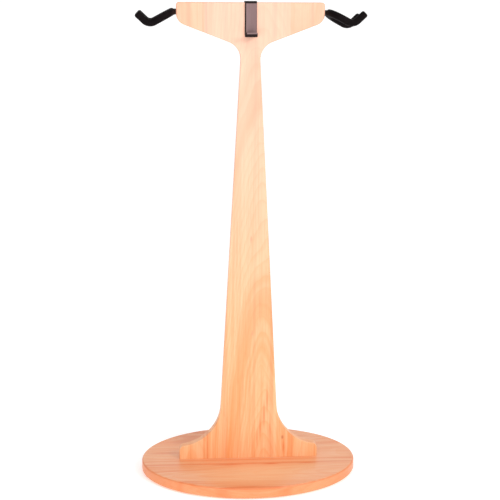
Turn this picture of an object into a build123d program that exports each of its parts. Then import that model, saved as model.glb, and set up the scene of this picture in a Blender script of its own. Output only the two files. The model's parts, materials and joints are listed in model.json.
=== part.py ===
from build123d import *
from math import cos, radians, sin, tan
import os

# A floor stand that hangs two guitars. Millimetres, +Z up, +X to the right seen from the front,
# the front is -Y, and the origin is on the floor under the middle of the base.

# Base: an oval slab of three planks on thin pads
base_length = 558
base_width = 410
base_thickness = 28
base_rounding = 5
base_seams = (-59.5, 65)
pad_diameter = 28
pad_thickness = 2
pad_inset = 0.84
base_top = pad_thickness + base_thickness

# Upright: a flat board, T-shaped, with a flared foot
board_thickness = 24
board_rounding = 2
upright_height = 1172
foot_half_width = 181
head_half_width = 180
column_half_width = (77.7, 22.3)
plank_edges = (-111.5, 96.4)
upright_top = base_top + upright_height

# Right half of the upright's outline: distance from the centre line, height above the base
# and radius of the corner
half_outline = [
    (foot_half_width, 33.8, 13),
    (column_half_width[0], 52, 115),
    (column_half_width[1], 1066, 45),
    (head_half_width, 1126, 28),
    (head_half_width, upright_height, 7),
]

# Dowels: their radius, and where they cross each glue line
dowel_radius = 4
glue_gap = 0.05
base_dowel_length = 40
base_dowel_places = (-150, 0, 150)
wing_dowel_length = 30
wing_dowel_heights = (base_top + 16, base_top + 36, upright_top - 52, upright_top - 22)
locating_dowel_length = 28
locating_dowel_places = (-150, 150)

# Bolts that hold the upright on the base, M8
bolt_places = (-60, 0, 60)
bolt_radius = 4
bolt_length = 40
bolt_head_width = 13
bolt_head_height = 5.3
bolt_hole_radius = 4.5
bolt_socket_width = 5
bolt_socket_depth = 3
bolt_washer_radius = 10
bolt_washer_thickness = 1.6
counterbore_radius = 11
counterbore_depth = 12
insert_radius = 6
insert_length = 24
insert_bore_radius = 4.05

# Strap hook over the top of the head
strap_width = 29
strap_thickness = 3
strap_bend = 3.5
strap_drop_front = 81.5
strap_drop_back = 60
hook_reach = 28
hook_bend = 6.5
hook_lip_height = 10.5
hook_corner = 4
screw_radius = 2
screw_length = 18
screw_head_radius = 4
screw_head_height = 2.6
screw_places = (-15, -42)

# Yokes on the two ends of the head
stem_drop = {"left": 22.5, "right": 25}
stem_radius = 4
stem_insert_depth = 23
washer_radius = 7
washer_bore_radius = 4.4
washer_thickness = 1.6
nut_width = 13
nut_thickness = 3.4
fit_gap = 0.1
saddle_gap = 0.02
rod_radius = 4
sleeve_radius = 8.95
sleeve_bore_radius = 4.05
sleeve_gap = 4.2
crossbar_reach = 10
valley_reach = 65
tip_reach = 94.5
arm_slope = 28.3
tip_slope = 43
yoke_half_width = 38.5
tip_half_width = 43
yoke_corner_radius = 36
valley_radius = 20
sleeve_end = 5.5
yoke_turn = {"left": 0, "right": -5.3}

base_align = (Align.CENTER, Align.CENTER, Align.MIN)


def peg(start, direction, length, radius):
    """A round peg, or the hole for one."""
    return Plane(origin=start, z_dir=direction) * Cylinder(radius, length, align=base_align)


def hexagon(start, direction, length, width):
    """A six-sided prism, width across its flats."""
    outline = RegularPolygon(width / 2, 6, major_radius=False)
    return extrude(Plane(origin=start, z_dir=direction) * outline, length)


def ring(start, direction, length, radius, bore_radius):
    return peg(start, direction, length, radius) - peg(start, direction, length, bore_radius)


def slab(axis_vector, low, high):
    """A large block between two planes across an axis, used to cut a board into planks."""
    size = 4 * upright_height
    sheet = Plane(origin=axis_vector * low, z_dir=axis_vector) * Rectangle(size, size)
    return extrude(sheet, high - low)


def dowels(places, direction, length, radius):
    """Dowels centred on the given places."""
    along = Vector(*direction)
    return [peg(Vector(*p) - along * (length / 2), along, length, radius) for p in places]


def cut(solid, tools):
    for tool in tools:
        solid = solid - tool
    return solid


# Where the fasteners and dowels are

base_dowel_points = [(x, y, pad_thickness + base_thickness / 2)
                     for y in base_seams for x in base_dowel_places]
wing_dowel_points = [(x, 0, z) for x in plank_edges for z in wing_dowel_heights]
locating_dowel_points = [(x, 0, base_top) for x in locating_dowel_places]
hole_radius = dowel_radius + glue_gap
washer_top = pad_thickness + counterbore_depth
washer_bottom = washer_top - bolt_washer_thickness


def upright_holes():
    holes = dowels(wing_dowel_points, (1, 0, 0), wing_dowel_length + 2, hole_radius)
    holes += dowels(locating_dowel_points, (0, 0, 1), locating_dowel_length + 2, hole_radius)
    for x in bolt_places:
        holes.append(peg((x, 0, base_top), (0, 0, 1), insert_length + 2, insert_radius + glue_gap))
    for side, drop in zip((-1, 1), stem_drop.values()):
        end = (side * head_half_width, 0, upright_top - drop)
        holes.append(peg(end, (-side, 0, 0), insert_length + 2, insert_radius + glue_gap))
    for drop in screw_places:
        start = (0, board_thickness / 2, upright_top + drop)
        depth = screw_length - strap_thickness + 1
        holes.append(peg(start, (0, -1, 0), depth, screw_radius + glue_gap))
    return holes


def upright_board():
    """The whole T shape, before it is divided into its planks."""
    right = [(x, base_top + h) for x, h, _ in half_outline]
    left = [(-x, z) for x, z in reversed(right)]
    bottom = [(-foot_half_width, base_top), (foot_half_width, base_top)]
    corner_radii = [r for _, _, r in half_outline]
    radii = [0, 0] + corner_radii + corner_radii[::-1]
    outline = Plane.XZ * FilletPolyline(*bottom, *right, *left, radius=radii, close=True)
    board = extrude(make_face(outline), board_thickness / 2, both=True)
    rims = [e for face in (board.faces().sort_by(Axis.Y)[0], board.faces().sort_by(Axis.Y)[-1])
            for e in face.edges() if e.center().Z > base_top + 0.1]
    return fillet(rims, board_rounding)


def upright_parts():
    board = cut(upright_board(), upright_holes())
    left_edge, right_edge = plank_edges
    across = Vector(1, 0, 0)
    far = 2 * head_half_width
    left = board & slab(across, -far, left_edge)
    right = board & slab(across, right_edge, far)
    return {
        "centre_plank": board & slab(across, left_edge, right_edge),
        "foot_wing_left": left.solids().sort_by(Axis.Z)[0],
        "head_wing_left": left.solids().sort_by(Axis.Z)[-1],
        "foot_wing_right": right.solids().sort_by(Axis.Z)[0],
        "head_wing_right": right.solids().sort_by(Axis.Z)[-1],
    }


def base_parts():
    oval = Pos(0, 0, pad_thickness) * Ellipse(base_length / 2, base_width / 2)
    base = extrude(oval, base_thickness)
    rims = base.edges().filter_by(Axis.Z, reverse=True)
    base = fillet(rims, base_rounding)
    holes = dowels(base_dowel_points, (0, 1, 0), base_dowel_length + 2, hole_radius)
    holes += dowels(locating_dowel_points, (0, 0, 1), locating_dowel_length + 2, hole_radius)
    for x in bolt_places:
        start = (x, 0, pad_thickness)
        holes.append(peg(start, (0, 0, 1), counterbore_depth, counterbore_radius))
        holes.append(peg(start, (0, 0, 1), base_thickness, bolt_hole_radius))
    base = cut(base, holes)
    edges = (-base_width, *base_seams, base_width)
    names = ("base_front_plank", "base_centre_plank", "base_back_plank")
    along = Vector(0, 1, 0)
    return {name: base & slab(along, low, high)
            for name, low, high in zip(names, edges[:-1], edges[1:])}


def floor_pads():
    """Six round pads, set in from the rim of the base."""
    pads = []
    for i in range(6):
        turn = radians(60 * i)
        x = pad_inset * base_length / 2 * cos(turn)
        y = pad_inset * base_width / 2 * sin(turn)
        pads.append(peg((x, y, 0), (0, 0, 1), pad_thickness, pad_diameter / 2))
    return pads


def bolt(x):
    """A bolt from below, its head in the counterbore, with a hexagon socket."""
    shank = peg((x, 0, washer_bottom), (0, 0, 1), bolt_length, bolt_radius)
    shank = chamfer(shank.edges().sort_by(Axis.Z)[-1], 0.8)
    head_bottom = washer_bottom - bolt_head_height
    head = peg((x, 0, head_bottom), (0, 0, 1), bolt_head_height, bolt_head_width / 2)
    head = fillet(head.edges().group_by(Axis.Z)[0], 0.8)
    socket = hexagon((x, 0, head_bottom), (0, 0, 1), bolt_socket_depth, bolt_socket_width)
    return shank + head - socket


def base_fasteners():
    up = (0, 0, 1)
    washers = [ring((x, 0, washer_bottom), up, bolt_washer_thickness, bolt_washer_radius,
                    bolt_hole_radius) for x in bolt_places]
    inserts = [ring((x, 0, base_top), up, insert_length, insert_radius, insert_bore_radius)
               for x in bolt_places]
    return {
        "base_bolts": [bolt(x) for x in bolt_places],
        "bolt_washers": washers,
        "foot_inserts": inserts,
    }


def strap_hook():
    """A flat strap: down the back, over the top, down the front and out into a J."""
    back = board_thickness / 2 + strap_thickness / 2
    over = upright_top + strap_thickness / 2
    low = over - strap_drop_front
    lip = -back - hook_reach
    points = [(0, back, upright_top - strap_drop_back), (0, back, over), (0, -back, over),
              (0, -back, low), (0, lip, low), (0, lip, low + hook_lip_height)]
    path = FilletPolyline(*points, radius=[strap_bend, strap_bend, hook_bend, hook_bend])
    section = Plane(origin=points[0], z_dir=(0, 0, 1)) * Rectangle(strap_width, strap_thickness)
    strap = sweep(section, path=path)
    ends = strap.edges().filter_by(Axis.Y)
    lip_corners = ends.group_by(Axis.Y)[0]
    back_corners = ends.group_by(Axis.Y)[-1]
    strap = fillet(list(lip_corners) + list(back_corners), hook_corner)
    holes = [peg((0, board_thickness / 2, upright_top + drop), (0, 1, 0), strap_thickness,
                 screw_radius + 0.3) for drop in screw_places]
    return cut(strap, holes)


def strap_screws():
    """Pan-head wood screws with a cross recess."""
    screws = []
    face = board_thickness / 2 + strap_thickness
    for drop in screw_places:
        z = upright_top + drop
        shank = peg((0, face, z), (0, -1, 0), screw_length, screw_radius)
        shank = chamfer(shank.edges().sort_by(Axis.Y)[0], 1.5)
        head = peg((0, face, z), (0, 1, 0), screw_head_height, screw_head_radius)
        head = fillet(head.edges().sort_by(Axis.Y)[-1], 1.4)
        crown = Pos(0, face + screw_head_height - 0.6, z)
        recess = crown * Box(4, 1.4, 0.9) + crown * Box(0.9, 1.4, 4)
        screws.append(shank + head - recess)
    return screws


# A yoke is drawn in its own frame: the origin where the stem's axis meets the end of the head,
# +X away from the head, +Z up

def half_yoke_points(side):
    """Corners of the sleeve's line from the crossbar's middle to one tip, side -1 at the front."""
    valley = -(valley_reach - crossbar_reach) * tan(radians(arm_slope))
    tip = valley + (tip_reach - valley_reach) * tan(radians(tip_slope))
    return [Vector(crossbar_reach, 0, 0),
            Vector(crossbar_reach, side * yoke_half_width, 0),
            Vector(valley_reach, side * yoke_half_width, valley),
            Vector(tip_reach, side * tip_half_width, tip)]


def rod_half_points(side):
    """The same corners for the steel rod, which stops short inside the sleeve's closed end."""
    points = half_yoke_points(side)
    run = points[-1] - points[-2]
    points[-1] = points[-1] - run.normalized() * sleeve_end
    return points


def bent_rod(points, radii, radius):
    path = FilletPolyline(*points, radius=radii)
    section = Plane(origin=points[0], z_dir=points[1] - points[0]) * Circle(radius)
    return sweep(section, path=path)


def yoke_rod(radius):
    """The U of round rod, valley and upturned tips included."""
    front = rod_half_points(-1)
    rear = rod_half_points(1)
    bends = [valley_radius, yoke_corner_radius]
    return bent_rod(front[:0:-1] + rear[1:], bends + bends[::-1], radius)


def sleeve(side):
    """A rubber tube over one half of the rod, its tip closed and rounded over."""
    points = half_yoke_points(side)
    tube = bent_rod(points, [yoke_corner_radius, valley_radius], sleeve_radius)
    tube = fillet(tube.faces().sort_by_distance(points[-1])[0].edges(), sleeve_end)
    tube = tube & slab(Vector(0, side, 0), stem_radius + sleeve_gap, tip_reach)
    return tube - yoke_rod(sleeve_bore_radius)


def stem():
    """The rod that turns in the insert, its outer end fitted and welded to the crossbar."""
    length = stem_insert_depth + crossbar_reach
    blank = peg((-stem_insert_depth, 0, 0), (1, 0, 0), length, stem_radius)
    return blank - yoke_rod(rod_radius + saddle_gap)


def lock_nut():
    out = (1, 0, 0)
    start = (washer_thickness + fit_gap, 0, 0)
    nut = hexagon(start, out, nut_thickness, nut_width)
    round_blank = peg(start, out, nut_thickness, nut_width / 2 + 0.7)
    round_blank = chamfer(round_blank.edges().group_by(Axis.X)[-1], 0.7)
    return (nut & round_blank) - peg(start, out, nut_thickness, stem_radius)


def end_washer():
    washer = peg((0, 0, 0), (1, 0, 0), washer_thickness, washer_radius)
    washer = chamfer(washer.edges().group_by(Axis.X)[-1], 0.8)
    return washer - peg((0, 0, 0), (1, 0, 0), washer_thickness, washer_bore_radius)


def stem_insert():
    return ring((-insert_length, 0, 0), (1, 0, 0), insert_length, insert_radius,
                insert_bore_radius)


def yoke_parts(side):
    fixed = {"stem_insert": stem_insert(), "end_washer": end_washer()}
    turning = {"stem": stem(), "lock_nut": lock_nut(), "yoke_rod": yoke_rod(rod_radius),
               "front_sleeve": sleeve(-1), "rear_sleeve": sleeve(1)}
    parts = dict(fixed)
    for name, piece in turning.items():
        parts[name] = Rot(X=yoke_turn[side]) * piece
    placed = {}
    for name, piece in parts.items():
        piece = Pos(head_half_width, 0, upright_top - stem_drop[side]) * piece
        if side == "left":
            piece = mirror(piece, about=Plane.YZ)
        placed[f"{side}_{name}"] = piece
    return placed


nodes = {}
nodes.update(base_parts())
nodes["base_dowels"] = dowels(base_dowel_points, (0, 1, 0), base_dowel_length, dowel_radius)
nodes["floor_pads"] = floor_pads()
nodes.update(base_fasteners())
nodes["locating_dowels"] = dowels(locating_dowel_points, (0, 0, 1), locating_dowel_length,
                                  dowel_radius)
nodes.update(upright_parts())
nodes["wing_dowels"] = dowels(wing_dowel_points, (1, 0, 0), wing_dowel_length, dowel_radius)
nodes["strap_hook"] = strap_hook()
nodes["strap_screws"] = strap_screws()
for side in ("left", "right"):
    nodes.update(yoke_parts(side))

os.makedirs("parts", exist_ok=True)
for name, shape in nodes.items():
    solids = shape if isinstance(shape, list) else shape.solids()
    export_step(Compound(solids), f"parts/{name}.step")
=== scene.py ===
# Guitar stand: a flat wooden upright on an oval base, with a rubber-sleeved yoke on each side
import bmesh
import bpy
import json
import math
from mathutils import Matrix, Vector


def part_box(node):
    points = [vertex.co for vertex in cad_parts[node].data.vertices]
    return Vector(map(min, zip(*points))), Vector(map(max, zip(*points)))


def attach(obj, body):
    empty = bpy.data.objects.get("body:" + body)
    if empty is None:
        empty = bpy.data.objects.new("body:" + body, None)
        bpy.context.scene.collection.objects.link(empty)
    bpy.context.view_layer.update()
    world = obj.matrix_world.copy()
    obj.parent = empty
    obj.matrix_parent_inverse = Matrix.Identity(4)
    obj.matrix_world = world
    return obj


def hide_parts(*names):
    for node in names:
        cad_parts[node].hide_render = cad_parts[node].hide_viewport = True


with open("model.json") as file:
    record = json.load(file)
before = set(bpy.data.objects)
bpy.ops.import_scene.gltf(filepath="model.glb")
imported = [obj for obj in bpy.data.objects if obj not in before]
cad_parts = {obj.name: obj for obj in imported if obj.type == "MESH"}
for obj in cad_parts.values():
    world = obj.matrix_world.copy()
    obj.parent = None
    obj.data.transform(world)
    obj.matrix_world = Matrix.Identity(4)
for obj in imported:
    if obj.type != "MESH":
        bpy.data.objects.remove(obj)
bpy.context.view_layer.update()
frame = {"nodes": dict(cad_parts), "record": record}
nodes = frame["nodes"]
print("frame loaded")


# An output socket that takes part in plain sums. It serves shader trees and geometry trees.
class Socket:
    def __init__(self, output):
        self.output = output
        self.tree = output.id_data

    # the settings are set first, then the values or links of the inputs
    def node(self, kind, settings=None, inputs=None, out=0):
        made = self.tree.nodes.new(kind)
        for key, value in (settings or {}).items():
            if key == "stops":
                fillRamp(made.color_ramp, value)
            else:
                setattr(made, key, value)
        for key, value in (inputs or {}).items():
            if isinstance(value, Socket):
                self.tree.links.new(value.output, made.inputs[key])
            else:
                made.inputs[key].default_value = value
        return Socket(made.outputs[out])

    def maths(self, operation, *values):
        return self.node("ShaderNodeMath", {"operation": operation}, dict(enumerate(values)))

    def __add__(self, other):
        return self.maths("ADD", self, other)

    __radd__ = __add__

    def __sub__(self, other):
        return self.maths("SUBTRACT", self, other)

    def __rsub__(self, other):
        return self.maths("SUBTRACT", other, self)

    def __mul__(self, other):
        return self.maths("MULTIPLY", self, other)

    __rmul__ = __mul__

    def __truediv__(self, other):
        return self.maths("DIVIDE", self, other)

    def __pow__(self, other):
        return self.maths("POWER", self, other)

    def absolute(self):
        return self.maths("ABSOLUTE", self)

    def step(self, low, high, bottom=0.0, top=1.0):
        return self.node("ShaderNodeMapRange", {"interpolation_type": "SMOOTHSTEP"},
                         {"Value": self, "From Min": low, "From Max": high,
                          "To Min": bottom, "To Max": top})

    def ramp(self, stops):
        return self.node("ShaderNodeValToRGB", {"stops": stops}, {0: self})

    def split(self):
        made = self.node("ShaderNodeSeparateXYZ", {}, {0: self}).output.node
        return [Socket(output) for output in made.outputs]

    def join(self, y, z):
        return self.node("ShaderNodeCombineXYZ", {}, {0: self, 1: y, 2: z})

    def noise(self, scale, seed=0.0, detail=2.0, rough=0.5):
        place = self.node("ShaderNodeMapping", {},
                          {"Vector": self, "Scale": scale, "Location": (seed, seed * 0.7, seed * 1.3)})
        return place.node("ShaderNodeTexNoise", {},
                          {"Vector": place, "Scale": 1.0, "Detail": detail, "Roughness": rough})

    # this value mixes two colours
    def blend(self, one, other, mode="MIX"):
        settings = {"data_type": "RGBA", "blend_type": mode}
        colours = [c if isinstance(c, Socket) else (*c, 1.0) for c in (one, other)]
        return self.node("ShaderNodeMix", settings,
                         {0: self, 6: colours[0], 7: colours[1]}, out=2)


def fillRamp(ramp, stops):
    while len(ramp.elements) < len(stops):
        ramp.elements.new(1.0)
    for element, (place, colour) in zip(ramp.elements, stops):
        element.position = place
        element.color = (*colour, 1.0)


def startMaterial(name):
    material = bpy.data.materials.new(name)
    material.use_nodes = True
    tree = material.node_tree
    tree.nodes.clear()
    coordinates = tree.nodes.new("ShaderNodeTexCoord")
    return material, Socket(coordinates.outputs["Object"])


def finishMaterial(start, inputs, height=None, depth=0.0002, strength=0.5):
    if height is not None:
        inputs["Normal"] = start.node("ShaderNodeBump", {},
                                      {"Height": height, "Distance": depth, "Strength": strength})
    surface = start.node("ShaderNodeBsdfPrincipled", {}, inputs)
    end = start.tree.nodes.new("ShaderNodeOutputMaterial")
    start.tree.links.new(surface.output, end.inputs["Surface"])


# wood: lengths in metres, scales in noise cells per metre, depths are shares of the darker tone
woodLook = {
    "ringWidth": 0.0042, "ringDepth": 0.8,
    "bandScale": 75.0, "bandDepth": 0.9,
    "streakScale": 150.0, "streakDepth": 0.45,
    "fibreScale": 620, "fibreDepth": 0.35,
    "poreScale": 38, "poreDepth": 0.4,
    "sway": 0.06, "sideSway": 0.012, "depthSway": 0.03, "knotBulge": 0.006, "stripeSway": 0.010,
    "roughness": 0.40, "coat": 0.3, "coatRoughness": 0.25,
    "knot": (0.50, 0.10, 0.03),
    "sheenWhite": (0.92, 0.585, 0.515),
    "fadedAndSheen": (0.95, 0.57, 0.32),
}
# one year across: pale early wood first, then the dark late wood
yearStops = [(0.0, (0.35,) * 3), (0.08, (0.05,) * 3), (0.55, (0.18,) * 3),
             (0.86, (0.7,) * 3), (0.96, (1.0,) * 3), (1.0, (0.35,) * 3)]
uprightTones = {"pale": (0.93, 0.52, 0.265), "middle": (0.91, 0.42, 0.18), "deep": (0.87, 0.31, 0.085),
                "dark": (0.80, 0.20, 0.045)}
baseTones = {"pale": (0.90, 0.46, 0.24), "middle": (0.88, 0.36, 0.15), "deep": (0.84, 0.25, 0.075),
             "dark": (0.76, 0.155, 0.035)}


# soft oval marks on a plank: across, along, width, length, strength
def spots(across, along, marks):
    mask = across * 0.0
    for markAcross, markAlong, width, length, strength in marks:
        a = (across - markAcross) / width
        l = (along - markAlong) / length
        mask = mask + ((a * a + l * l) ** 0.5).step(0.0, 1.0, strength, 0.0)
    return mask


# grain: the axis along the trunk. pith: where the trunk's middle was, across and in depth.
# lean: how that middle drifts along the plank. knots, flecks and patches: rows for spots().
# stripes: across, width, strength, all along the plank. bleach: how far a painted highlight pales the wood
# towards
# the top. sides: how far upright faces and the rounded rim are darkened as painted shade
def woodMaterial(name, grain, tones, pith, lean, seed, knots=(), flecks=(), patches=(), stripes=(),
                 topSheen=0.0, sideShade=0.0):
    material, place = startMaterial(name)
    x, y, z = place.split()
    nx, _, nz = Socket(place.output.node.outputs["Normal"]).split()
    across, depth, along, endNormal = (x, y, z, nz) if grain == "Z" else (y, z, x, nx)
    look = woodLook
    trunk = across.join(depth, along)
    knotMask = spots(across, along, knots)

    # rings are drawn by the distance from the pith, which wanders a little
    sway = trunk.noise((3.1, 3.1, 0.9), seed) - 0.5
    sideSway = trunk.noise((7.0, 7.0, 2.3), seed + 5.1, detail=3.0) - 0.5
    a = across - pith[0] - along * lean[0] + sway * look["sway"] + sideSway * look["sideSway"]
    d = depth - pith[1] - along * lean[1] + sideSway * look["depthSway"] + knotMask * look["knotBulge"]
    radius = (a * a + d * d) ** 0.5
    rings = radius / look["ringWidth"]
    late = rings.maths("FRACT", rings).ramp(yearStops)
    bands = (radius * look["bandScale"]).join(0.0, along * 0.7).noise((1, 1, 1), seed + 2.2,
                                                                      detail=3.0, rough=0.6)
    fine = look["fibreScale"]
    fibres = trunk.noise((fine, fine, 7.0), seed, detail=3.0, rough=0.6)
    streaks = trunk.noise((look["streakScale"], look["streakScale"], 2.2), seed + 9.0, detail=2.0)
    pores = trunk.noise((fine * 2.2, fine * 2.2, look["poreScale"]), seed + 3.0, detail=1.0)
    pores = pores.step(0.6, 0.74)

    colour = (late * look["ringDepth"]).blend(tones["pale"], tones["middle"])
    colour = (bands.step(0.42, 0.70) * look["bandDepth"]).blend(colour, tones["deep"])
    colour = (streaks.step(0.45, 0.72) * look["streakDepth"]).blend(colour, tones["deep"])
    colour = (fibres.step(0.42, 0.75) * look["fibreDepth"]).blend(colour, tones["dark"])
    colour = (pores * look["poreDepth"]).blend(colour, tones["dark"])
    # patches pale the wood: faded spots in most planks; on the base's front plank the big patch is a painted
    # highlight
    colour = spots(across, along, patches).blend(colour, look["fadedAndSheen"])
    broken = bands.step(0.3, 0.6, 0.5, 1.0)
    for stripeAcross, width, strength in stripes:
        drift = (sway * look["stripeSway"] + across - stripeAcross) / width
        stripe = drift.absolute().step(0.2, 1.0, strength, 0.0)
        colour = (stripe * broken).blend(colour, tones["dark"])
    colour = spots(across, along, flecks).blend(colour, tones["dark"])
    colour = knotMask.blend(colour, look["knot"])
    # painted highlight: the upright pales towards the top, standing for the sheen of the lacquer there
    colour = along.step(0.1, 1.25, 0.0, topSheen).blend(colour, look["sheenWhite"])
    # painted shade: side faces and the rounded rim of the base are darkened
    colour = nz.absolute().step(0.3, 0.9, sideShade, 0.0).blend(colour, tones["deep"])
    colour = (nz - 0.6).absolute().step(0.1, 0.35, sideShade, 0.0).blend(colour, tones["dark"])
    # end grain is darker, and on the base the painted side shade deepens it further
    endGrain = endNormal.absolute().step(0.3, 0.95, 0.0, 0.35 + 0.5 * sideShade)
    colour = endGrain.blend(colour, tones["deep"])

    height = fibres * 0.5 - pores * 0.8 + late * 0.25
    finishMaterial(place, {
        "Base Color": colour,
        "Roughness": look["roughness"] + fibres * 0.14 + pores * 0.1,
        "Coat Weight": look["coat"] - pores * 0.15,
        "Coat Roughness": look["coatRoughness"],
    }, height, depth=0.00025, strength=0.35)
    return material


def paint(node, material):
    nodes[node].data.materials.clear()
    nodes[node].data.materials.append(material)


# the strongest figure is a row of flame shapes right of the middle, low on the column
uprightLook = {
    "centre_plank": dict(pith=(0.042, 0.055), lean=(-0.02, 0.10), seed=1.3, topSheen=0.55,
                         knots=((0.004, 0.618, 0.004, 0.014, 0.5), (0.089, 0.085, 0.005, 0.009, 0.7),
                                (0.008, 0.37, 0.003, 0.012, 0.45)),
                         flecks=((0.048, 0.190, 0.005, 0.055, 0.7), (0.040, 0.150, 0.004, 0.060, 0.8),
                                 (0.030, 0.115, 0.004, 0.050, 0.8), (0.022, 0.085, 0.004, 0.035, 0.6),
                                 (0.056, 0.110, 0.003, 0.050, 0.6), (0.092, 0.058, 0.005, 0.030, 0.7),
                                 (0.004, 0.665, 0.0016, 0.05, 0.4)),
                         patches=((0.068, 0.16, 0.008, 0.30, 0.4), (-0.02, 0.9, 0.03, 0.4, 0.25)),
                         stripes=((-0.108, 0.004, 0.7), (-0.062, 0.009, 0.35), (0.058, 0.008, 0.45),
                                  (0.012, 0.005, 0.3))),
    "head_wing_left": dict(pith=(-0.16, 0.12), lean=(0.0, 0.03), seed=4.7, topSheen=0.40,
                           stripes=((-0.115, 0.006, 0.6), (-0.15, 0.01, 0.4))),
    "head_wing_right": dict(pith=(0.13, 0.16), lean=(0.0, -0.04), seed=8.9, topSheen=0.46,
                            stripes=((0.150, 0.006, 0.4),)),
    "foot_wing_left": dict(pith=(-0.13, 0.09), lean=(0.0, 0.05), seed=6.1,
                           patches=((-0.134, 0.06, 0.03, 0.08, 0.35),),
                           stripes=((-0.116, 0.004, 0.5), (-0.150, 0.003, 0.2))),
    "foot_wing_right": dict(pith=(0.16, 0.10), lean=(0.0, 0.02), seed=3.3,
                            patches=((0.132, 0.06, 0.03, 0.09, 0.25),),
                            stripes=((0.114, 0.005, 0.35),)),
}
for node, look in uprightLook.items():
    paint(node, woodMaterial(node + "Wood", "Z", uprightTones, **look))

baseLook = {
    "base_front_plank": dict(pith=(-0.12, -0.07), lean=(0.03, 0.05), seed=2.2, sideShade=0.5,
                             # the large pale patch on the front middle is a painted highlight
                             patches=((-0.110, 0.02, 0.10, 0.24, 0.6),),
                             flecks=((-0.193, -0.02, 0.008, 0.09, 0.7), (-0.155, -0.17, 0.008, 0.07, 0.5)),
                             stripes=((-0.197, 0.006, 0.45),)),
    "base_centre_plank": dict(pith=(0.01, -0.10), lean=(-0.02, 0.04), seed=5.6, sideShade=0.95,
                              patches=((0.0, 0.20, 0.05, 0.09, 0.4),),
                              flecks=((-0.057, -0.055, 0.006, 0.055, 0.8), (-0.056, 0.055, 0.006, 0.035, 0.9),
                                      (-0.055, 0.15, 0.005, 0.04, 0.8), (0.03, -0.22, 0.010, 0.07, 0.6)),
                              stripes=((-0.050, 0.007, 0.8), (-0.028, 0.005, 0.4))),
    "base_back_plank": dict(pith=(0.14, -0.06), lean=(0.02, -0.05), seed=7.4, sideShade=0.7,
                            flecks=((0.10, -0.15, 0.012, 0.09, 0.6), (0.13, 0.12, 0.010, 0.08, 0.4)),
                            patches=((0.10, 0.14, 0.05, 0.10, 0.35),),
                            stripes=((0.175, 0.012, 0.4),)),
}
for node, look in baseLook.items():
    paint(node, woodMaterial(node + "Wood", "X", baseTones, **look))

dowelWood = woodMaterial("dowelWood", "X", uprightTones, (0.0, 0.05), (0.0, 0.0), 9.9)
for node in ("base_dowels", "locating_dowels", "wing_dowels"):
    paint(node, dowelWood)
print("wood painted")


# metal. brush: noise scale of the brushed lines. worn: how far the bare metal shows
def metalMaterial(name, colour, worn, brush, rough=0.35, metallic=0.9):
    material, place = startMaterial(name)
    lines = place.noise(brush, 1.7, detail=3.0, rough=0.6)
    stains = place.noise((60, 60, 60), 4.2, detail=4.0, rough=0.6)
    scuffs = place.noise((420, 420, 420), 6.6, detail=3.0).step(0.62, 0.75)
    shade = (lines.step(0.3, 0.7) * 0.35).blend(colour, worn)
    shade = (stains.step(0.45, 0.8) * 0.3).blend(shade, [c * 0.6 for c in colour])
    shade = (scuffs * 0.4).blend(shade, worn)
    finishMaterial(place, {
        "Base Color": shade,
        "Metallic": metallic,
        "Roughness": rough + lines * 0.15 + stains * 0.1 - scuffs * 0.08,
    }, lines * 0.6 + scuffs * 0.3, depth=0.0001, strength=0.3)
    return material


# A copy of a CAD piece with its sharp edges broken, as filed or tumbled metal has them
def softenedCopy(node, width, body, material):
    mesh = nodes[node].data.copy()
    shape = bmesh.new()
    shape.from_mesh(mesh)
    bmesh.ops.remove_doubles(shape, verts=shape.verts, dist=1e-6)
    bmesh.ops.dissolve_limit(shape, angle_limit=math.radians(0.5), verts=shape.verts, edges=shape.edges)
    shape.to_mesh(mesh)
    shape.free()
    mesh.name = node + "Softened"
    mesh.materials.clear()
    mesh.materials.append(material)
    piece = bpy.data.objects.new(node + "Softened", mesh)
    bpy.context.scene.collection.objects.link(piece)
    bevel = piece.modifiers.new("edges", "BEVEL")
    bevel.width, bevel.segments = width, 2
    bevel.limit_method, bevel.angle_limit = "ANGLE", math.radians(35)
    mesh = bakedMesh(piece)
    mesh.shade_smooth()
    mesh.set_sharp_from_angle(angle=math.radians(40))
    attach(piece, body)
    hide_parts(node)
    return piece


# the object keeps its place, and its modifiers become its mesh
def bakedMesh(piece):
    evaluated = piece.evaluated_get(bpy.context.evaluated_depsgraph_get())
    mesh = bpy.data.meshes.new_from_object(evaluated)
    piece.modifiers.clear()
    piece.data = mesh
    return mesh


strapLow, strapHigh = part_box("strap_hook")
# topBend, lowBend: how far painted shade, standing for dark reflections in the bends, reaches on the bar.
# leftEdge, rightEdge: painted shade along the long edges. scale: the colour of that painted shade. crease:
# the painted shade line over the lip, above the strap's lowest point. blur: how softly the black ends, in the
# same order
strapLook = {
    "colour": (0.225, 0.145, 0.145),
    "worn": (0.285, 0.20, 0.20),
    "stain": (0.17, 0.135, 0.13),
    "scale": (0.006, 0.0035, 0.0035),
    "topBend": 0.0050, "topBlur": 0.0008,
    "lowBend": 0.0070, "lowBlur": 0.0010,
    "leftEdge": 0.0026, "leftBlur": 0.0006,
    "rightEdge": 0.0009, "rightBlur": 0.0005,
    "crease": 0.0125, "lipDepth": 0.01,
    "edge": 0.0004,
}
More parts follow.
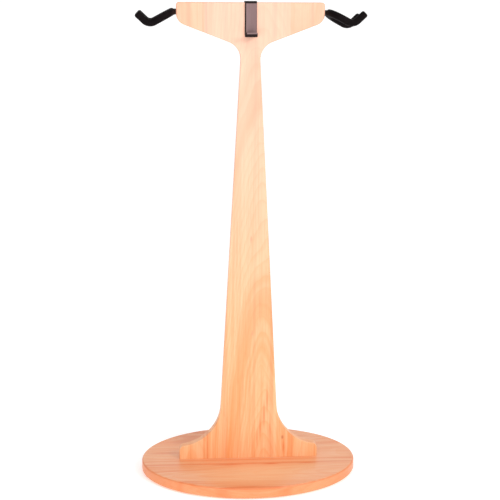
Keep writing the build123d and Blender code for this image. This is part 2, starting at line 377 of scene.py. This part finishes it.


# flat bar, its bends, long edges and the crease over the lip painted black as shade and dark reflection
def strapMaterial():
    look = strapLook
    material, place = startMaterial("strapSteel")
    x, y, z = place.split()
    lines = place.noise((700, 700, 14), 2.3, detail=3.0, rough=0.6)
    stains = place.noise((45, 45, 30), 3.1, detail=4.0, rough=0.65)
    topStart = strapHigh.z - look["topBend"]
    lowStart = strapLow.z + look["lowBend"]
    leftStart = strapLow.x + look["leftEdge"]
    rightStart = strapHigh.x - look["rightEdge"]
    lip = strapLow.y + look["lipDepth"]
    crease = (z - strapLow.z - look["crease"]).absolute().step(0.0006, 0.0013, 1.0, 0.0)
    crease = crease * y.step(lip, lip + 0.002, 1.0, 0.0)
    # scale holds the painted shade: the bends, the two long edges and the crease over the lip go black,
    # standing for dark reflections and shadow
    scale = z.step(topStart - look["topBlur"], topStart)
    for mask in (z.step(lowStart, lowStart + look["lowBlur"], 1.0, 0.0),
                 x.step(rightStart, rightStart + look["rightBlur"]),
                 x.step(leftStart, leftStart + look["leftBlur"], 1.0, 0.0),
                 crease * 0.7):
        scale = x.maths("MAXIMUM", scale, mask)
    shade = (lines.step(0.3, 0.7) * 0.5).blend(look["colour"], look["worn"])
    shade = (stains.step(0.45, 0.75) * 0.35).blend(shade, look["stain"])
    shade = (scale * 0.95).blend(shade, look["scale"])
    finishMaterial(place, {
        "Base Color": shade,
        "Metallic": 0.75 - scale * 0.75,
        "Roughness": 0.42 + lines * 0.15 + scale * 0.1,
        "Specular IOR Level": 0.08,
    }, lines, depth=0.0001, strength=0.35)
    return material


blackSteel = metalMaterial("blackSteel", (0.018, 0.015, 0.016), (0.10, 0.09, 0.09), (160, 160, 160),
                           rough=0.4, metallic=0.6)
zincSteel = metalMaterial("zincSteel", (0.52, 0.52, 0.54), (0.68, 0.68, 0.70), (90, 90, 400))
brass = metalMaterial("brassInsert", (0.60, 0.43, 0.18), (0.75, 0.58, 0.30), (300, 300, 80))
softenedCopy("strap_hook", strapLook["edge"], "stand", strapMaterial())
softenedCopy("strap_screws", 0.0002, "stand", blackSteel)
softenedCopy("base_bolts", 0.0003, "stand", zincSteel)
softenedCopy("bolt_washers", 0.0003, "stand", zincSteel)
for node in ("foot_inserts", "left_stem_insert", "right_stem_insert"):
    paint(node, brass)
for side in ("left", "right"):
    softenedCopy(f"{side}_end_washer", 0.0002, "stand", blackSteel)
    softenedCopy(f"{side}_lock_nut", 0.0003, f"{side}_yoke", blackSteel)
    paint(f"{side}_stem", blackSteel)
    paint(f"{side}_yoke_rod", blackSteel)
print("metal painted")


# the black rubber of the sleeves
def rubberMaterial():
    material, place = startMaterial("blackRubber")
    speckle = place.noise((1500, 1500, 1500), 0.6, detail=2.0)
    mottle = place.noise((140, 140, 140), 2.9, detail=3.0, rough=0.6)
    dust = place.noise((34, 34, 34), 7.7, detail=4.0, rough=0.65).step(0.48, 0.75)
    shade = (dust * 0.5).blend((0.0045, 0.0028, 0.0032), (0.017, 0.010, 0.011))
    shade = (speckle.step(0.55, 0.75) * 0.4).blend(shade, (0.022, 0.014, 0.015))
    finishMaterial(place, {
        "Base Color": shade,
        "Roughness": 0.42 + mottle * 0.16 + dust * 0.1,
        "Specular IOR Level": 0.05,
    }, speckle * 0.6 + mottle * 0.5, depth=0.00025, strength=0.4)
    return material


# A geometry tree with named number inputs: its group input's sockets come back by name
def startTree(name, sizes):
    tree = bpy.data.node_groups.new(name, "GeometryNodeTree")
    tree.interface.new_socket("Geometry", in_out="INPUT", socket_type="NodeSocketGeometry")
    tree.interface.new_socket("Geometry", in_out="OUTPUT", socket_type="NodeSocketGeometry")
    for size in sizes:
        tree.interface.new_socket(size, in_out="INPUT", socket_type="NodeSocketFloat")
    start = tree.nodes.new("NodeGroupInput")
    return tree, {output.name: Socket(output) for output in start.outputs if output.name}


# the tree's last steps: real geometry, closed and smooth, in its material
def finishTree(geometry, material):
    geometry = geometry.node("GeometryNodeMergeByDistance", {}, {"Geometry": geometry, "Distance": 1e-6})
    geometry = geometry.node("GeometryNodeSetShadeSmooth", {}, {0: geometry})
    geometry = geometry.node("GeometryNodeRealizeInstances", {}, {0: geometry})
    geometry = geometry.node("GeometryNodeSetMaterial", {}, {"Geometry": geometry, "Material": material})
    end = geometry.tree.nodes.new("NodeGroupOutput")
    geometry.tree.links.new(geometry.output, end.inputs[0])


# gives a piece the tree, sets its inputs by their identifiers, and keeps the result as its mesh
def growPiece(name, data, tree, sizes, body, replaced=None):
    seed = bpy.data.objects.new(name + "Path", data)
    bpy.context.scene.collection.objects.link(seed)
    grower = seed.modifiers.new("grow", "NODES")
    grower.node_group = tree
    for item in tree.interface.items_tree:
        if item.in_out == "INPUT" and item.name in sizes:
            grower[item.identifier] = sizes[item.name]
    evaluated = seed.evaluated_get(bpy.context.evaluated_depsgraph_get())
    mesh = bpy.data.meshes.new_from_object(evaluated)
    bpy.data.objects.remove(seed)
    piece = bpy.data.objects.new(name, mesh)
    bpy.context.scene.collection.objects.link(piece)
    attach(piece, body)
    if replaced:
        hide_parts(replaced)
    return piece


# metres: where the yoke's line turns, in its own frame with X along the stem and Z up
yokeLook = {
    "crossbar": 0.010, "valley": 0.065, "tip": 0.0945,
    "armSlope": 28.3, "tipSlope": 43.0,
    "halfWidth": 0.0385, "tipHalfWidth": 0.043,
    "turn": {"left": 0.0, "right": -5.3},
}
sleeveSizes = {
    "Corner Radius": 0.036, "Valley Radius": 0.020, "Sleeve Radius": 0.00895,
    "Tip Rounding": 0.0055, "Root Rounding": 0.0008, "Start Gap": 0.0086,
    "Unevenness": 0.00012, "Ring Spacing": 0.0005,
}
weldSizes = {"Rod Radius": 0.004, "Bead Radius": 0.0008, "Ripples": 26.0, "Ripple Depth": 0.22}


# from a yoke's own frame to its place on the stand
def yokePlace(side):
    sign = -1 if side == "left" else 1
    mirror = Matrix.Diagonal((sign, 1, 1, 1))
    turn = Matrix.Rotation(math.radians(yokeLook["turn"][side]), 4, "X")
    return Matrix.Translation(yokeJoints[side]["pos_m"]) @ mirror @ turn


def sleevePath(name, side, half):
    drop = -(yokeLook["valley"] - yokeLook["crossbar"]) * math.tan(math.radians(yokeLook["armSlope"]))
    rise = (yokeLook["tip"] - yokeLook["valley"]) * math.tan(math.radians(yokeLook["tipSlope"]))
    corners = [(yokeLook["crossbar"], 0, 0),
               (yokeLook["crossbar"], half * yokeLook["halfWidth"], 0),
               (yokeLook["valley"], half * yokeLook["halfWidth"], drop),
               (yokeLook["tip"], half * yokeLook["tipHalfWidth"], drop + rise)]
    path = bpy.data.curves.new(name + "Path", "CURVE")
    path.dimensions = "3D"
    spline = path.splines.new("POLY")
    spline.points.add(len(corners) - 1)
    for point, corner in zip(spline.points, corners):
        point.co = (*(yokePlace(side) @ Vector(corner)), 1.0)
    return path


# a rubber tube along the bent line: closed and rounded at the tip, cut square at the root
def sleeveTree(material):
    tree, size = startTree("rubberSleeve", sleeveSizes)
    line = size["Geometry"]
    index = line.node("GeometryNodeInputIndex")
    second = index.maths("GREATER_THAN", index, 1.5)
    bend = size["Corner Radius"] * (1.0 - second) + size["Valley Radius"] * second
    line = line.node("GeometryNodeFilletCurve", {"mode": "POLY"},
                     {"Curve": line, "Radius": bend, "Count": 24})
    line = line.node("GeometryNodeTrimCurve", {"mode": "LENGTH"},
                     {"Curve": line, 4: size["Start Gap"], 5: 10.0})
    line = line.node("GeometryNodeResampleCurve", {"mode": "LENGTH"},
                     {"Curve": line, "Length": size["Ring Spacing"]})
    along = line.node("GeometryNodeSplineParameter", out=1)
    whole = line.node("GeometryNodeSplineLength")
    radius = size["Sleeve Radius"]
    for distance, rounding in ((along, size["Root Rounding"]), (whole - along, size["Tip Rounding"])):
        short = rounding - distance.maths("MINIMUM", distance, rounding)
        radius = radius - rounding + (rounding * rounding - short * short) ** 0.5
        # the very end closes to a point, so the end face is closed too
        radius = radius * distance.maths("GREATER_THAN", distance, size["Ring Spacing"] * 0.4)
    place = line.node("GeometryNodeInputPosition")
    lumps = place.node("ShaderNodeTexNoise", {}, {"Vector": place, "Scale": 90.0, "Detail": 2.0})
    radius = radius - lumps * size["Unevenness"]
    radius = radius.maths("MAXIMUM", radius, 1e-7)
    ring = line.node("GeometryNodeCurvePrimitiveCircle", {}, {"Resolution": 48, "Radius": 1.0})
    tube = line.node("GeometryNodeCurveToMesh", {}, {"Curve": line, "Profile Curve": ring,
                                                     "Scale": radius})
    finishTree(tube, material)
    return tree


# a bead of weld round the stem where it meets the crossbar, with the ripples of the pass
def weldTree(material):
    tree, size = startTree("weldBead", weldSizes)
    line = size["Geometry"]
    along = line.node("GeometryNodeSplineParameter")
    ripple = along.maths("SINE", along * size["Ripples"] * (2 * math.pi))
    radius = size["Bead Radius"] * (1.0 + ripple * size["Ripple Depth"])
    ring = line.node("GeometryNodeCurvePrimitiveCircle", {}, {"Resolution": 12, "Radius": 1.0})
    tube = line.node("GeometryNodeCurveToMesh", {}, {"Curve": line, "Profile Curve": ring,
                                                     "Scale": radius})
    finishTree(tube, material)
    return tree


def weldPath(name, side):
    radius = weldSizes["Rod Radius"]
    path = bpy.data.curves.new(name + "Path", "CURVE")
    path.dimensions = "3D"
    spline = path.splines.new("POLY")
    spline.use_cyclic_u = True
    count = 156
    spline.points.add(count - 1)
    for i, point in enumerate(spline.points):
        turn = 2 * math.pi * i / count
        corner = Vector((yokeLook["crossbar"] - radius * abs(math.cos(turn)),
                         radius * math.cos(turn), radius * math.sin(turn)))
        point.co = (*(yokePlace(side) @ corner), 1.0)
    return path


yokeJoints = {side: next(joint for joint in frame["record"]["behaviour"]["joints"]
                         if joint["child"] == f"{side}_yoke") for side in ("left", "right")}
rubberTree = sleeveTree(rubberMaterial())
beadTree = weldTree(blackSteel)
for side in ("left", "right"):
    for part, half in (("front", -1), ("rear", 1)):
        name = f"{side}{part.capitalize()}RubberSleeve"
        growPiece(name, sleevePath(name, side, half), rubberTree, sleeveSizes, f"{side}_yoke",
                  f"{side}_{part}_sleeve")
    name = f"{side}WeldBead"
    growPiece(name, weldPath(name, side), beadTree, weldSizes, f"{side}_yoke")
print("sleeves and weld beads grown")


# pressed felt under the base
def feltMaterial():
    material, place = startMaterial("padFelt")
    hairs = place.noise((900, 900, 2500), 1.1, detail=4.0, rough=0.7)
    clumps = place.noise((120, 120, 120), 5.0, detail=3.0)
    shade = hairs.step(0.3, 0.7).blend((0.05, 0.042, 0.036), (0.16, 0.14, 0.12))
    shade = (clumps.step(0.4, 0.7) * 0.4).blend(shade, (0.09, 0.075, 0.065))
    finishMaterial(place, {"Base Color": shade, "Roughness": 0.85 + hairs * 0.1},
                   hairs, depth=0.0006, strength=0.8)
    return material


padLow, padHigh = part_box("floor_pads")
padSizes = {
    "Pad Radius": 0.014, "Pad Height": padHigh.z - padLow.z, "Edge Wear": 0.0006,
    "Ring Length": padHigh.x - 0.014, "Ring Width": (padHigh.y - 0.014) / math.sin(math.pi / 3),
}


# six felt discs round the underside, their edges a little ragged
def padTree(material):
    tree, size = startTree("feltPads", padSizes)
    base = size["Geometry"]
    disc = base.node("GeometryNodeMeshCylinder", {"fill_type": "TRIANGLE_FAN"},
                     {"Vertices": 72, "Side Segments": 4, "Fill Segments": 6,
                      "Radius": size["Pad Radius"], "Depth": size["Pad Height"]})
    place = base.node("GeometryNodeInputPosition")
    x, y, z = place.split()
    out = (x * x + y * y) ** 0.5 / size["Pad Radius"]
    ragged = place.node("ShaderNodeTexNoise", {}, {"Vector": place, "Scale": 700.0, "Detail": 3.0})
    shrink = 1.0 - (ragged * size["Edge Wear"] / size["Pad Radius"]) * out.step(0.9, 1.0) * 2.0
    belly = 1.0 - (z / size["Pad Height"]).absolute() * out.step(0.8, 1.0) * 0.12
    moved = (x * shrink).join(y * shrink, z * belly)
    disc = base.node("GeometryNodeSetPosition", {}, {"Geometry": disc, "Position": moved})
    ring = base.node("GeometryNodeMeshCircle", {}, {"Vertices": 6, "Radius": 1.0})
    length = size["Ring Length"].join(size["Ring Width"], 1.0)
    height = base.node("ShaderNodeCombineXYZ", {}, {2: size["Pad Height"] * 0.5})
    ring = base.node("GeometryNodeTransform", {}, {"Geometry": ring, "Scale": length, "Translation": height})
    pads = base.node("GeometryNodeInstanceOnPoints", {}, {"Points": ring, "Instance": disc})
    pads = base.node("GeometryNodeRealizeInstances", {}, {0: pads})
    finishTree(pads, material)
    return tree


growPiece("feltPads", bpy.data.meshes.new("padSeed"), padTree(feltMaterial()), padSizes, "stand",
          "floor_pads")
print("felt pads grown")


# the pale floor that curves up behind, metres
stageLook = {"width": 14.0, "front": -7.0, "back": 4.0, "curve": 2.0, "height": 6.0,
             "colour": (0.93, 0.93, 0.93), "steps": 16, "glow": 0.33}


def makeBackdrop():
    profile = [(stageLook["front"], 0.0)]
    for i in range(stageLook["steps"] + 1):
        turn = math.pi / 2 * i / stageLook["steps"]
        profile.append((stageLook["back"] + stageLook["curve"] * math.sin(turn),
                        stageLook["curve"] * (1 - math.cos(turn))))
    profile.append((stageLook["back"] + stageLook["curve"], stageLook["height"]))
    half = stageLook["width"] / 2
    points = [(x, y, z) for y, z in profile for x in (-half, half)]
    faces = [(i, i + 1, i + 3, i + 2) for i in range(0, len(points) - 2, 2)]
    mesh = bpy.data.meshes.new("backdrop")
    mesh.from_pydata(points, [], faces)
    mesh.shade_smooth()
    material, place = startMaterial("paper")
    tone = place.noise((3, 3, 3), 1.0, detail=3.0)
    finishMaterial(place, {"Base Color": tone.blend(stageLook["colour"], (0.95, 0.95, 0.95)),
                           "Roughness": 0.9,
                           "Emission Color": (1.0, 1.0, 1.0, 1.0),
                           "Emission Strength": stageLook["glow"]})
    mesh.materials.append(material)
    backdrop = bpy.data.objects.new("backdrop", mesh)
    bpy.context.scene.collection.objects.link(backdrop)


lightLook = {
    "key": dict(place=(1.9, -2.2, 2.3), aim=(0.0, 0.0, 0.7), size=0.9, power=37, colour=(1.0, 0.98, 0.96)),
    "fill": dict(place=(-0.7, -2.8, 0.7), aim=(0.0, 0.0, 0.3), size=1.6, power=19.5, colour=(1.0, 1.0, 1.0)),
    "top": dict(place=(0.1, -1.0, 2.6), aim=(0.0, 0.0, 1.1), size=1.0, power=6, colour=(1.0, 1.0, 1.0)),
}
worldLook = {"colour": (1.0, 1.0, 1.0), "strength": 0.6}


def makeLights():
    for name, look in lightLook.items():
        data = bpy.data.lights.new(name, "AREA")
        data.shape, data.size = "DISK", look["size"]
        data.energy, data.color = look["power"], look["colour"]
        light = bpy.data.objects.new(name, data)
        light.location = look["place"]
        towards = Vector(look["aim"]) - Vector(look["place"])
        light.rotation_euler = towards.to_track_quat("-Z", "Y").to_euler()
        bpy.context.scene.collection.objects.link(light)
    world = bpy.data.worlds.new("studio")
    world.use_nodes = True
    sky = world.node_tree.nodes["Background"]
    sky.inputs["Color"].default_value = (*worldLook["colour"], 1.0)
    sky.inputs["Strength"].default_value = worldLook["strength"]
    bpy.context.scene.world = world
    bpy.context.scene.view_settings.view_transform = "Standard"


# place in metres, turns in degrees: round the stand to the right, down, and a trace of roll
cameraLook = {"place": (-0.2166, -2.8668, 1.255), "turn": 4.36, "down": 13.065, "roll": 0.32, "lens": 83.85}


def makeCamera():
    data = bpy.data.cameras.new("camera")
    data.lens, data.sensor_width = cameraLook["lens"], 36.0
    data.clip_start, data.clip_end = 0.05, 60.0
    camera = bpy.data.objects.new("camera", data)
    turn, down, roll = (math.radians(cameraLook[key]) for key in ("turn", "down", "roll"))
    camera.matrix_world = (Matrix.Translation(cameraLook["place"]) @ Matrix.Rotation(-turn, 4, "Z")
                           @ Matrix.Rotation(math.pi / 2 - down, 4, "X") @ Matrix.Rotation(roll, 4, "Z"))
    bpy.context.scene.collection.objects.link(camera)
    bpy.context.scene.camera = camera


makeBackdrop()
makeLights()
makeCamera()
print("stage, lights and camera made")
